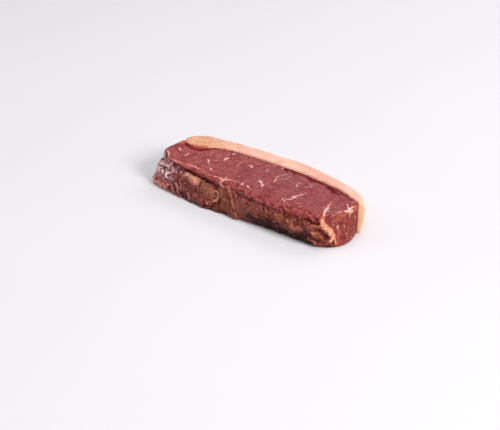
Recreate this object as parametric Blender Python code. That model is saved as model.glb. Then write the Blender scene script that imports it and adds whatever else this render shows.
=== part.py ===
# Raw picanha steak: a block of lean meat with a cap of fat along its back, lying on its cut face.
# The underside is flat on the XY plane, X runs along the steak and the fat cap is on the +Y side.

import math

import bmesh
import bpy
import numpy as np
from mathutils import Vector, noise

# Driving dimensions, in millimetres
MM = 0.001
THICKNESS = 27.5  # from one cut face to the other
BELLY = 9.0  # heights of the four levels that shape the uncut side
SHELF = 17.5
CREASE = 21.0
LIP = 24.5
SEAM_GAP = 0.3  # between the meat and the fat
SEAM_LEAN_IN = 1.0  # how far the seam leans in at its foot
FAT_LEAN_IN = 2.5  # how far the outer face of the fat leans in at its foot
FAT_EDGE_RADIUS = 3.2
FAT_FOOT_RADIUS = 1.5
FAT_CROWN = 1.2  # the fat stands a little above the meat
FAT_END_DROP = 1.3  # its top falls away towards the right end
FAT_END_SHARE = 0.14  # share of the length over which it does
FAT_END_ROUNDING = 0.8
FAT_WAVE = 14.0  # length and height of the waves in its top
FAT_WAVE_HEIGHT = 0.35
FOOT_ROUNDING = 1.3  # how far the foot of the meat is tucked in, and up to what height
FOOT_ROUNDING_HEIGHT = 2.2

# Steps along the front, along each end, and up the side
FRONT_STEPS = 72
END_STEPS = 12
CORNER_STEPS = 5  # the relief fades out over these beside the seam
ROWS = (0.0, 1.2, 3.4, 6.4, 9.6, 12.8, 15.6, 18.0, 19.8, 21.2, 22.8, 24.6, 26.3, THICKNESS)
LEVELS = (0.0, BELLY, SHELF, CREASE, LIP, THICKNESS)

# The uncut front, from the left: station x, then y at the foot, belly, shelf, crease, lip and top edge
FRONT = (
    (-84, -21.0, -19.5, -15.0, -11.5, -12.0, -10.5),
    (-74, -22.5, -21.0, -17.0, -11.5, -14.0, -12.5),
    (-62, -24.0, -22.0, -18.5, -12.0, -14.5, -12.0),
    (-48, -25.5, -23.0, -19.5, -13.5, -15.0, -11.5),
    (-36, -26.5, -24.5, -20.5, -15.5, -16.5, -13.5),
    (-24, -25.0, -23.0, -20.0, -17.0, -17.5, -14.5),
    (-8, -24.0, -23.0, -20.5, -17.0, -17.5, -14.0),
    (10, -21.5, -23.5, -21.5, -19.5, -18.0, -12.0),
    (30, -20.0, -23.5, -22.5, -20.5, -19.5, -13.0),
    (50, -20.0, -23.0, -22.5, -20.5, -19.5, -13.5),
    (66, -19.5, -22.0, -20.5, -18.5, -18.0, -13.5),
    (78, -18.5, -20.0, -19.0, -16.5, -15.0, -12.0),
)

# The ends, from the left to the right, as pairs of the foot and the top edge of one upright line
LEFT_END = (
    ((-93.5, 11.0), (-92.0, 11.0)),
    ((-98.5, 2.5), (-93.7, 5.5)),
    ((-99.5, -7.0), (-93.8, 0.5)),
    ((-97.5, -16.5), (-92.7, -4.5)),
    ((-91.5, -20.0), (-89.0, -7.8)),
)
RIGHT_END = (
    ((86.5, -14.5), (82.0, -8.0)),
    ((91.5, -8.0), (85.5, -1.5)),
    ((93.8, 1.0), (88.0, 6.0)),
    ((92.0, 11.0), (88.9, 13.0)),
)

# Top edge of the seam between meat and fat, from the left, and the top of the outer face of the fat
SEAM = (
    (-89.0, 16.0), (-80.0, 15.5), (-71.0, 18.5), (-62.0, 24.7), (-48.0, 29.0), (-18.0, 30.8),
    (13.0, 32.8), (45.0, 31.0), (65.0, 28.2), (78.0, 23.8), (84.0, 21.7), (89.2, 19.9),
)
FAT_OUTSIDE = (
    (-94.0, 25.0), (-90.0, 31.5), (-82.0, 37.0), (-66.0, 41.3), (-45.0, 44.0), (-15.0, 46.0),
    (15.0, 47.3), (45.0, 43.5), (65.0, 39.0), (80.0, 34.3), (91.0, 27.2), (95.6, 22.0),
)

# Lumps and hollows of the uncut side: x, height above the underside, half width, half height, depth outward
LUMPS = (
    (-97, 3, 6, 5, 1.8), (-84, 5, 4, 5, 1.6), (-76, 4, 3, 5, 1.2), (-68, 6, 4, 6, 1.4),
    (-91, 15, 4, 4, 2.0), (-92, 22, 3, 2, -1.2), (-81, 20, 3, 2, -1.0), (-53, 17, 10, 3, 1.0),
    (-32, 13, 7, 4, 1.4), (-22, 14, 3, 3, -1.5), (-48, 9, 6, 4, -0.9), (-14, 19, 3, 5, 1.3),
    (-6, 9, 3, 8, 1.3), (-2, 2, 2.2, 3, 3.4), (5, 5, 5, 5, -1.0), (20, 11, 9, 5, 0.7),
    (37, 14, 6, 4, 0.8), (49, 12, 5, 4, 1.0), (57, 16, 4, 3, 0.9), (64, 11, 4, 4, -1.2),
    (77, 12, 6, 4, 1.8), (69, 6, 4, 3, 1.3), (72, 18, 4, 2, -1.0), (88, 8, 6, 6, 0.8),
    (84, 19, 3, 3, -0.8),
)
CLEFTS = (-78.5, -72.0, -64.0, -57.0)  # upright grooves near the left end, as x at mid height
CLEFT_MIDDLE = 8.0
CLEFT_SLANT = 0.15
CLEFT_HALF_WIDTH = 2.6
CLEFT_DEPTH = 1.3
CLEFT_TOP = 15.0

# Hollows and swellings of the top cut face: x, y, half length, half width, height
TOP_FORMS = (
    (-88, 13, 4, 4, 2.4), (-71, 14.5, 7, 2.5, -2.0), (-60, 21, 6, 2.5, -1.3), (-35, 5, 25, 12, -0.6),
    (15, 8, 30, 12, 0.5), (60, 5, 18, 12, -0.6), (92, 6, 7, 14, -1.7), (80, -10, 5, 3, -0.9),
    (30, 30, 12, 2, -0.7), (52, 28, 10, 2, -0.8), (72, 23, 9, 2.2, -1.1),
)
FAT_SWELLS = ((0.64, 0.5), (0.4, 0.6), (0.18, 0.2))  # share of the height, swelling of the outer face
LUMP_SPREAD = 1.5  # a lump dies out at this many times its half width
MEMBRANE_GRAIN = 9.0  # size and depth of the uneven surface of the uncut side
MEMBRANE_DEPTH = 1.2
EDGE_FADE = 3.0  # the relief of the side fades out over this height under the top edge
CUT_GRAIN = 16.0  # size and depth of the waves in the top cut face
CUT_DEPTH = 0.35

MEAT_COLOUR = (0.235, 0.055, 0.060, 1.0)
FAT_COLOUR = (0.680, 0.420, 0.290, 1.0)


def smooth(knots, values, places):
    """A cubic curve through the values at the knots, read at the places."""
    slopes = np.gradient(values, knots, axis=0)
    index = np.clip(np.searchsorted(knots, places, side="right") - 1, 0, len(knots) - 2)
    step = (knots[index + 1] - knots[index])[:, None]
    t = (places - knots[index])[:, None] / step
    start = (2 * t**3 - 3 * t**2 + 1) * values[index] + (t**3 - 2 * t**2 + t) * step * slopes[index]
    end = (3 * t**2 - 2 * t**3) * values[index + 1] + (t**3 - t**2) * step * slopes[index + 1]
    return start + end


def run_lengths(points):
    """Distance along a chain of points, from its first one."""
    return np.concatenate([[0.0], np.cumsum(np.linalg.norm(np.diff(points, axis=0), axis=1))])


def upright(foot, top):
    """The plan position of a straight side at each level."""
    share = np.array(LEVELS)[:, None] / THICKNESS
    return np.array(foot) * (1 - share) + np.array(top) * share


def skin_columns(wall):
    """Plan positions at every level, from the seam round the left end, the front and the right end."""
    left = [upright(wall[0, 0], wall[0, -1])] + [upright(foot, top) for foot, top in LEFT_END]
    front = [np.array([(row[0], y) for y in row[1:]], float) for row in FRONT]
    right = [upright(foot, top) for foot, top in RIGHT_END] + [upright(wall[-1, 0], wall[-1, -1])]
    return np.array(left + front + right), len(left), len(left) + len(front) - 1


def rows_of(columns):
    """Each column of level positions, drawn out to all the rows up the side."""
    levels = np.array(LEVELS)
    return np.array([smooth(levels, column, np.array(ROWS)) for column in columns])


def skin_grid(wall):
    """Points [along, up, xy] of the outside of the meat, from one end of the seam wall to the other."""
    columns, first, last = skin_columns(wall)
    along = run_lengths(columns.mean(axis=1))
    places = np.concatenate([
        np.linspace(along[0], along[first], END_STEPS + 1)[:-1],
        np.linspace(along[first], along[last], FRONT_STEPS + 1),
        np.linspace(along[last], along[-1], END_STEPS + 1)[1:],
    ])
    flat = smooth(along, columns.reshape(len(columns), -1), places)
    return rows_of(flat.reshape(len(places), len(LEVELS), 2))


def even_line(points, steps):
    points = np.array(points, float)
    along = run_lengths(points)
    return smooth(along, points, np.linspace(0.0, along[-1], steps + 1))


def sideways(line):
    """Unit vectors square to a line that runs towards +X, on its +Y side."""
    heading = np.gradient(line, axis=0)
    heading /= np.linalg.norm(heading, axis=1)[:, None]
    return np.stack([-heading[:, 1], heading[:, 0]], axis=1)


def leaning_wall(line, lean_in, heights):
    """Points [along, up, xy] of a wall under a line, its foot moved in towards the meat."""
    inward = -sideways(line) * lean_in
    share = 1 - np.asarray(heights)[None, :, None] / THICKNESS
    return line[:, None, :] + inward[:, None, :] * share


def bump(distance):
    """A soft hump, 1 in the middle and nothing past 1."""
    return max(0.0, 1.0 - distance * distance) ** 2


def side_relief(x, y, z):
    """How far the uncut side stands out, in millimetres."""
    place = Vector((x, y, 1.3 * z)) / MEMBRANE_GRAIN
    rough = noise.fractal(place, 1.0, 2.0, 2, noise_basis="PERLIN_ORIGINAL") * MEMBRANE_DEPTH
    for centre, height, half_width, half_height, depth in LUMPS:
        reach = math.hypot((x - centre) / half_width, (z - height) / half_height)
        rough += depth * bump(reach / LUMP_SPREAD)
    for cleft in CLEFTS:
        aside = x - cleft - CLEFT_SLANT * (z - CLEFT_MIDDLE)
        rough -= CLEFT_DEPTH * bump(aside / CLEFT_HALF_WIDTH) * bump(z / CLEFT_TOP)
    fade = min(1.0, (THICKNESS - z) / EDGE_FADE) * min(1.0, 0.35 + z / 4.0)
    return rough * fade


def top_relief(x, y):
    """Height of the top cut face above its level, in millimetres."""
    height = noise.noise(Vector((x / CUT_GRAIN, y / CUT_GRAIN, 4.0))) * CUT_DEPTH
    for centre_x, centre_y, half_length, half_width, rise in TOP_FORMS:
        reach = math.hypot((x - centre_x) / half_length, (y - centre_y) / half_width)
        height += rise * bump(reach / LUMP_SPREAD)
    return height


def patch(front, back, left, right):
    """Plan points [along, across] of a sheet that fills four edges, by Coons' blend."""
    u = np.linspace(0.0, 1.0, len(front))[:, None, None]
    v = np.linspace(0.0, 1.0, len(left))[None, :, None]
    across = front[:, None] * (1 - v) + back[:, None] * v
    along = left[None] * (1 - u) + right[None] * u
    corners = (front[0] * (1 - u) + front[-1] * u) * (1 - v) + (back[0] * (1 - u) + back[-1] * u) * v
    return across + along - corners


def add_quads(mesh, corners):
    """Faces between the vertices of a grid, held as rows of vertices."""
    for near, far in zip(corners[:-1], corners[1:]):
        for a, b, c, d in zip(near[:-1], near[1:], far[1:], far[:-1]):
            mesh.faces.new((a, b, c, d))


def add_sheet(mesh, rings, row, height_of):
    """Closes one end of the body with a grid that shares the vertices of its rim."""
    rim = [ring[row] for ring in rings]
    count = len(rim)
    front = rim[END_STEPS:END_STEPS + FRONT_STEPS + 1]
    back = [rim[-i % count] for i in range(FRONT_STEPS + 1)]
    left = [rim[END_STEPS - j] for j in range(END_STEPS + 1)]
    right = [rim[END_STEPS + FRONT_STEPS + j] for j in range(END_STEPS + 1)]
    plan = patch(*[np.array([v.co.xy for v in edge]) for edge in (front, back, left, right)])
    sheet = [[None] * (END_STEPS + 1) for _ in range(FRONT_STEPS + 1)]
    for i in range(FRONT_STEPS + 1):
        for j in range(END_STEPS + 1):
            if j == 0:
                sheet[i][j] = front[i]
            elif j == END_STEPS:
                sheet[i][j] = back[i]
            elif i == 0:
                sheet[i][j] = left[j]
            elif i == FRONT_STEPS:
                sheet[i][j] = right[j]
            else:
                x, y = plan[i, j]
                sheet[i][j] = mesh.verts.new((x, y, height_of(x, y)))
    add_quads(mesh, sheet)


def finished(name, mesh, colour, roughness, collection):
    """A smooth shaded object with its own material, made from the mesh in millimetres."""
    bmesh.ops.recalc_face_normals(mesh, faces=mesh.faces)
    data = bpy.data.meshes.new(name)
    mesh.to_mesh(data)
    mesh.free()
    data.shade_smooth()
    data.set_sharp_from_angle(angle=math.radians(50))
    material = bpy.data.materials.new(name)
    material.use_nodes = True
    shader = material.node_tree.nodes["Principled BSDF"]
    shader.inputs["Base Color"].default_value = colour
    shader.inputs["Roughness"].default_value = roughness
    data.materials.append(material)
    body = bpy.data.objects.new(name, data)
    collection.objects.link(body)
    return body


def build_meat(seam, collection):
    wall = leaning_wall(seam, SEAM_LEAN_IN, ROWS)
    skin = skin_grid(wall)
    around = np.concatenate([skin, wall[-2:0:-1]])
    outward = np.gradient(skin.mean(axis=1), axis=0)
    outward = np.stack([outward[:, 1], -outward[:, 0]], axis=1)
    outward /= np.linalg.norm(outward, axis=1)[:, None]
    mesh = bmesh.new()
    rings = []
    for i, column in enumerate(around):
        ring = []
        for z, (x, y) in zip(ROWS, column):
            if i < len(skin):
                out = side_relief(x, y, z)
                out -= FOOT_ROUNDING * max(0.0, 1.0 - z / FOOT_ROUNDING_HEIGHT) ** 2
                out *= min(1.0, i / CORNER_STEPS, (len(skin) - 1 - i) / CORNER_STEPS)
                x += outward[i, 0] * out
                y += outward[i, 1] * out
            ring.append(mesh.verts.new((x, y, z)))
        rings.append(ring)
    add_quads(mesh, rings + rings[:1])
    add_sheet(mesh, rings, -1, lambda x, y: THICKNESS + top_relief(x, y))
    add_sheet(mesh, rings, 0, lambda x, y: 0.0)
    for ring in rings:
        ring[-1].co.z += top_relief(ring[-1].co.x, ring[-1].co.y)
    return finished("lean_meat", mesh, MEAT_COLOUR, 0.4, collection)


def arc(across, height, radius, degrees):
    return [(across + radius * math.cos(math.radians(turn)), height + radius * math.sin(math.radians(turn)))
            for turn in degrees]


def fat_section(thick):
    """Distance from the seam and height of each point round the section of the fat, from its inner foot."""
    radius = min(FAT_EDGE_RADIUS, 0.45 * thick)
    foot_radius = min(FAT_FOOT_RADIUS, 0.3 * thick)
    foot = thick - FAT_LEAN_IN
    inner = [(0.0, share * THICKNESS) for share in (0.0, 0.25, 0.5, 0.75, 0.98)]
    top = [(0.12 * thick, THICKNESS + 0.5 * FAT_CROWN), (0.5 * (thick - radius), THICKNESS + FAT_CROWN)]
    edge = arc(thick - radius, THICKNESS + FAT_CROWN - radius, radius, (90, 60, 30, 0))
    outer = [(foot + (thick - foot) * share + swell, share * THICKNESS) for share, swell in FAT_SWELLS]
    base = arc(foot - foot_radius, foot_radius, foot_radius, (0, -45, -90))
    return inner + top + edge + outer + base + [(0.5 * foot, 0.0)]


def build_fat(seam, collection):
    """The cap of fat, lofted along the seam with the inner face held clear of the meat."""
    outside = even_line(FAT_OUTSIDE, FRONT_STEPS)
    across = outside - seam
    thick = np.linalg.norm(across, axis=1)
    across /= thick[:, None]
    square = sideways(seam)
    mesh = bmesh.new()
    rings = []
    for i, (start, heading, width) in enumerate(zip(seam, across, thick)):
        end_share = max(0.0, 1.0 - (FRONT_STEPS - i) / FRONT_STEPS / FAT_END_SHARE)
        lower = FAT_END_DROP * end_share**2 + FAT_END_ROUNDING * max(0.0, 1.0 - min(i, FRONT_STEPS - i) / 2)
        ring = []
        for distance, z in fat_section(width - SEAM_GAP):
            inset = square[i] * (SEAM_GAP - SEAM_LEAN_IN * (1 - z / THICKNESS))
            x, y = start + inset + heading * distance
            if z > LIP:
                wave = FAT_WAVE_HEIGHT * noise.noise(Vector((x, y, 9.0)) / FAT_WAVE)
                z += (wave - lower) * min(1.0, distance / FAT_EDGE_RADIUS)
            ring.append(mesh.verts.new((x, y, z)))
        rings.append(ring)
    for near, far in zip(rings[:-1], rings[1:]):
        for k, vertex in enumerate(near):
            mesh.faces.new((near[k - 1], vertex, far[k], far[k - 1]))
    mesh.faces.new(rings[0])
    mesh.faces.new(rings[-1])
    return finished("fat_cap", mesh, FAT_COLOUR, 0.45, collection)


def centre_over_origin(bodies):
    """Moves the bodies so that the middle of their box is over the origin, and scales them to metres."""
    corners = np.array([v.co for body in bodies for v in body.data.vertices])
    middle = (corners.min(axis=0) + corners.max(axis=0)) / 2
    for body in bodies:
        for vertex in body.data.vertices:
            vertex.co -= Vector((middle[0], middle[1], 0.0))
            vertex.co *= MM


def main():
    for leftover in list(bpy.data.objects):
        bpy.data.objects.remove(leftover)
    collection = bpy.data.collections.new("picanha_steak")
    bpy.context.scene.collection.children.link(collection)
    seam = even_line(SEAM, FRONT_STEPS)
    centre_over_origin([build_meat(seam, collection), build_fat(seam, collection)])


main()
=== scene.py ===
import math

import bmesh
import bpy
import numpy as np
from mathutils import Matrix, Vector, noise
from mathutils.bvhtree import BVHTree


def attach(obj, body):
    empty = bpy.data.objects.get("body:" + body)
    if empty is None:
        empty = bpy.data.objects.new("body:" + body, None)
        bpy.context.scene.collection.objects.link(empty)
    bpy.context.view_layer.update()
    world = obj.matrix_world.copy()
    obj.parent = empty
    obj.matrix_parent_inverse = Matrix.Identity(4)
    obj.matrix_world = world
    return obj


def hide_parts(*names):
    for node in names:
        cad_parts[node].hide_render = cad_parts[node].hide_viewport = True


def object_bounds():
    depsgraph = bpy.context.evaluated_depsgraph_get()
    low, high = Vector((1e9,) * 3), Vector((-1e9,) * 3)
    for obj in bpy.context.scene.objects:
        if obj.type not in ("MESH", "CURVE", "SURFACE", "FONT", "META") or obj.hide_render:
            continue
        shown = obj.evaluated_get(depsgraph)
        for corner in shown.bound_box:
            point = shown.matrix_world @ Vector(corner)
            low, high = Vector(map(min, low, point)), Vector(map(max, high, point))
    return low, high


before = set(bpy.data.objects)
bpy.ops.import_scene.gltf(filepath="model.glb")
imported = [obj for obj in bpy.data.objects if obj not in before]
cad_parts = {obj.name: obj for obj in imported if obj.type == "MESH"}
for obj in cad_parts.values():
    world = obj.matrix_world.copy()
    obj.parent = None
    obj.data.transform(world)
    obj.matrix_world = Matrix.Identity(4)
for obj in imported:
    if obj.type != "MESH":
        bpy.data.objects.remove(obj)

scene = bpy.context.scene
solid_box = [[float(side) for side in corner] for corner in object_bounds()]

# The viewpoint: the slice is looked at from beyond its front right corner, a little above, with a
# long lens from about 1.25 m, so that its long sides hardly draw together.
EYE = (0.68549, -0.87430, 0.60458)
LENS = 110.1
SENSOR_WIDTH = 36
DEGREES_ABOVE = 29
DEGREES_RIGHT = 38.5
viewpoint = bpy.data.cameras.new("viewpoint")
viewpoint.sensor_width = SENSOR_WIDTH
viewpoint.lens = LENS
viewpoint.clip_start = 0.01
camera = bpy.data.objects.new("viewpoint", viewpoint)
camera.location = EYE
camera.rotation_euler = (math.radians(90 - DEGREES_ABOVE), 0, math.radians(DEGREES_RIGHT))
scene.collection.objects.link(camera)
scene.camera = camera
scene.view_settings.view_transform = "Standard"

# The tabletop: a plain matt surface, near white, wide enough to run out of sight, with soft
# daylight from the right and from behind it, and the pale room all round.
TABLE_HALF = 6
OBJECT_PLACE = 3  # the Object output of a Texture Coordinate node


class Shade:
    """One output in a material's nodes. Sums on it add Math nodes, and node() adds any other."""

    def __init__(self, tree, socket=None):
        self.tree = tree
        self.socket = socket

    def node(self, kind, settings, sockets, output=0):
        made = self.tree.nodes.new(kind)
        for name, value in settings.items():
            setattr(made, name, value)
        for name, value in sockets.items():
            if isinstance(value, Shade):
                self.tree.links.new(value.socket, made.inputs[name])
            else:
                made.inputs[name].default_value = value
        return Shade(self.tree, made.outputs[output])

    def sum_with(self, other, operation, turned=False):
        pair = (other, self) if turned else (self, other)
        return self.node("ShaderNodeMath", {"operation": operation}, {0: pair[0], 1: pair[1]})

    def __add__(self, other):
        return self.sum_with(other, "ADD")

    __radd__ = __add__

    def __sub__(self, other):
        return self.sum_with(other, "SUBTRACT")

    def __rsub__(self, other):
        return self.sum_with(other, "SUBTRACT", turned=True)

    def __mul__(self, other):
        return self.sum_with(other, "MULTIPLY")

    __rmul__ = __mul__

    def most(self, other):
        return self.sum_with(other, "MAXIMUM")

    def least(self, other):
        return self.sum_with(other, "MINIMUM")

    def mix(self, other, share):
        """This pattern with a share of another one in it."""
        return self * (1 - share) + other * share

    def rise(self, low, high):
        """0 up to low, 1 from high, and a soft slope between, also where low is the higher."""
        ends = {"Value": self, "From Min": low, "From Max": high}
        if low > high:
            ends = {"Value": self, "From Min": high, "From Max": low, "To Min": 1.0, "To Max": 0.0}
        return self.node("ShaderNodeMapRange", {"interpolation_type": "SMOOTHSTEP"}, ends)

    def blend(self, under, over, share):
        """One colour over another by a share. A plain colour is named in the usual 0 to 255."""
        pair = [paint if isinstance(paint, Shade) else tone(*paint) for paint in (under, over)]
        sockets = {0: share, 6: pair[0], 7: pair[1]}
        return self.node("ShaderNodeMix", {"data_type": "RGBA"}, sockets, output=2)


def tone(red, green, blue):
    """A colour named in the usual 0 to 255, as the shader takes it."""
    return tuple((part / 255) ** 2.2 for part in (red, green, blue)) + (1.0,)


tabletop = bpy.data.meshes.new("tabletop")
slab = bmesh.new()
bmesh.ops.create_grid(slab, x_segments=1, y_segments=1, size=TABLE_HALF)
slab.to_mesh(tabletop)
slab.free()
floor = bpy.data.objects.new("tabletop", tabletop)
scene.collection.objects.link(floor)
matt = bpy.data.materials.new("matt white laminate")
matt.use_nodes = True
surface = matt.node_tree.nodes["Principled BSDF"]
surface.inputs["Roughness"].default_value = 0.8
surface.inputs["Specular IOR Level"].default_value = 0.15
spot = Shade(matt.node_tree)
place = spot.node("ShaderNodeTexCoord", {}, {}, OBJECT_PLACE)
clouds = spot.node("ShaderNodeTexNoise", {}, {"Vector": place, "Scale": 3.0, "Detail": 3.0})
white = spot.blend((222, 219, 223), (228, 225, 229), clouds)
matt.node_tree.links.new(white.socket, surface.inputs["Base Color"])
tabletop.materials.append(matt)

room = bpy.data.worlds.new("pale room")
room.use_nodes = True
air = room.node_tree.nodes["Background"]
air.inputs["Color"].default_value = (0.93, 0.96, 1.0, 1)
air.inputs["Strength"].default_value = 0.40
scene.world = room


def window(name, place, size, power, colour):
    """A softbox of a size in metres and a power in watts, turned from its place to the slice."""
    pane = bpy.data.lights.new(name, "AREA")
    pane.shape = "RECTANGLE"
    pane.size, pane.size_y = size
    pane.energy = power
    pane.color = colour
    lamp = bpy.data.objects.new(name, pane)
    lamp.location = place
    lamp.rotation_euler = (-Vector(place)).to_track_quat("-Z", "Y").to_euler()
    scene.collection.objects.link(lamp)


window("window_right", (1.95, -0.2, 1.3), (0.8, 0.8), 44, (1.0, 0.985, 0.96))
window("window_behind", (0.1, 1.05, 0.95), (0.8, 0.5), 4.5, (0.97, 0.98, 1.0))
window("ceiling", (0.0, -0.2, 1.5), (1.2, 1.2), 7, (1.0, 0.99, 0.98))
window("room_left", (-0.9, -0.7, 0.75), (0.5, 0.5), 1.6, (0.96, 0.98, 1.0))

# The lean: one slice of the rump cap, raw beef, cut across its fibres above and below. Its front
# and left sides are the muscle's own, in dried silverskin, and its right end is a fresh cut. The
# skin is moved in and out in mm, and attributes keep what was moved, to colour it.
LEAN_CELL = 0.00065
LEAN_ROUNDS = 9
MM = 1000
MARGIN = 0.01  # how far in mm the skin stays inside the solid's box
FURTHEST = 9  # where a stroke's half widths and the mm to the other piece stop counting
NEAR_END = 6  # half widths past which a stroke colours nothing
FOOT = 0.4  # up to this height in mm the skin moves only inwards


def skin_of(node, name, cell, rounds):
    """The node's solid as one closed skin of small even faces, its facets rubbed soft."""
    block = bmesh.new()
    block.from_mesh(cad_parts[node].data)
    bmesh.ops.remove_doubles(block, verts=block.verts, dist=1e-6)
    blank = bpy.data.meshes.new(name + "_blank")
    block.to_mesh(blank)
    block.free()
    mould = bpy.data.objects.new(name + "_blank", blank)
    scene.collection.objects.link(mould)
    even = mould.modifiers.new("even", "REMESH")
    even.mode = "VOXEL"
    even.voxel_size = cell
    rub = mould.modifiers.new("rub", "SMOOTH")
    rub.factor = 0.5
    rub.iterations = rounds
    graph = bpy.context.evaluated_depsgraph_get()
    skin = bpy.data.meshes.new_from_object(mould.evaluated_get(graph))
    skin.name = name
    bpy.data.objects.remove(mould)
    bpy.data.meshes.remove(blank)
    piece = bpy.data.objects.new(name, skin)
    scene.collection.objects.link(piece)
    return piece


def points_of(skin):
    """Where the skin's points are, resting on zero, and which way each faces, in mm."""
    places = np.empty(len(skin.vertices) * 3, np.float32)
    skin.vertices.foreach_get("co", places)
    facing = np.empty(len(skin.vertices) * 3, np.float32)
    skin.vertex_normals.foreach_get("vector", facing)
    places = places.reshape(-1, 3).astype(float) * MM
    places[:, 2] -= places[:, 2].min()
    return places, facing.reshape(-1, 3).astype(float)


def raise_skin(skin, places, facing, height):
    """The points moved outwards by their height in mm, and kept inside the solid's own box."""
    low, high = np.array(solid_box) * MM
    kept_in = np.clip(places + facing * height[:, None], low + MARGIN, high - MARGIN)
    skin.vertices.foreach_set("co", (kept_in / MM).astype(np.float32).ravel())
    skin.polygons.foreach_set("use_smooth", np.ones(len(skin.polygons), bool))
    skin.update()


def keep_on_skin(skin, **fields):
    """Each field, one number for every point, as an attribute of its name."""
    for name, values in fields.items():
        layer = skin.attributes.new(name, "FLOAT", "POINT")
        layer.data.foreach_set("value", np.asarray(values, np.float32))


def slope(values, low, high):
    """0 up to low, 1 from high, and a soft slope between, also where low is the higher."""
    share = np.clip((values - low) / (high - low), 0, 1)
    return share * share * (3 - 2 * share)


def lumps(places, size, start, layers=1):
    """Smooth noise from about -1 to 1 whose lumps are size mm wide: one number or one per axis."""
    total = np.zeros(len(places))
    for layer in range(layers):
        scaled = places * 2**layer / np.array(size, float) + start + 7.1 * layer
        total += np.array([noise.noise(spot) for spot in scaled.tolist()]) * 0.55**layer
    return total


def wandering(places, size, reach, start):
    """The places, each moved by up to roughly reach mm, so that what is drawn on them wanders."""
    parts = [lumps(places, size, start + 3.3 * axis) for axis in range(3)]
    return places + np.stack(parts, 1) * reach * 2


def nearness(places, strokes, weights):
    """How many half widths each point is from the nearest stroke, and that stroke's strength.

    A stroke is a strength and its points, each a place in mm and a half width. Weights set how
    much each axis counts, so that a stroke drawn beside the skin still lies on it.
    """
    nearest = np.full(len(places), float(FURTHEST))
    strength = np.zeros(len(places))
    weighed = places * weights
    for power, run in strokes:
        ends = [(np.array(point[:3], float) * weights, point[3]) for point in run]
        if len(ends) == 1:
            ends = ends * 2
        for (start, wide), (stop, narrow) in zip(ends[:-1], ends[1:]):
            line = stop - start
            share = np.clip(((weighed - start) @ line) / max(line @ line, 1e-9), 0, 1)
            gap = np.linalg.norm(weighed - start - share[:, None] * line, axis=1)
            gap = gap / (wide + share * (narrow - wide))
            closer = gap < nearest
            nearest[closer] = gap[closer]
            strength[closer] = power
    return np.minimum(nearest, NEAR_END), strength


def swell(places, strokes, weights, reach=1.6, core=0.2):
    """The strokes' strength up to core half widths from their middle, down to 0 at reach."""
    near, power = nearness(places, strokes, weights)
    return slope(near, reach, core) * power


def depth_inside(flat, outline):
    """How far in mm a flat point lies inside an outline; outside it the number is negative."""
    gap = np.full(len(flat), 1e3)
    within = np.zeros(len(flat), bool)
    corners = np.array(outline, float)
    for start, stop in zip(corners, np.roll(corners, -1, axis=0)):
        line = stop - start
        share = np.clip(((flat - start) @ line) / (line @ line), 0, 1)
        gap = np.minimum(gap, np.linalg.norm(flat - start - share[:, None] * line, axis=1))
        crosses = (start[1] > flat[:, 1]) != (stop[1] > flat[:, 1])
        reach = start[0] + (flat[:, 1] - start[1]) / (line[1] or 1e-9) * line[0]
        within ^= crosses & (flat[:, 0] < reach)
    return np.where(within, gap, -gap)


def gap_to(node, places):
    """How far in mm each place is from another node's solid."""
    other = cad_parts[node].data
    corners = [vertex.co * MM for vertex in other.vertices]
    tree = BVHTree.FromPolygons(corners, [face.vertices[:] for face in other.polygons])
    return np.array([tree.find_nearest(spot)[3] for spot in places.tolist()])


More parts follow.
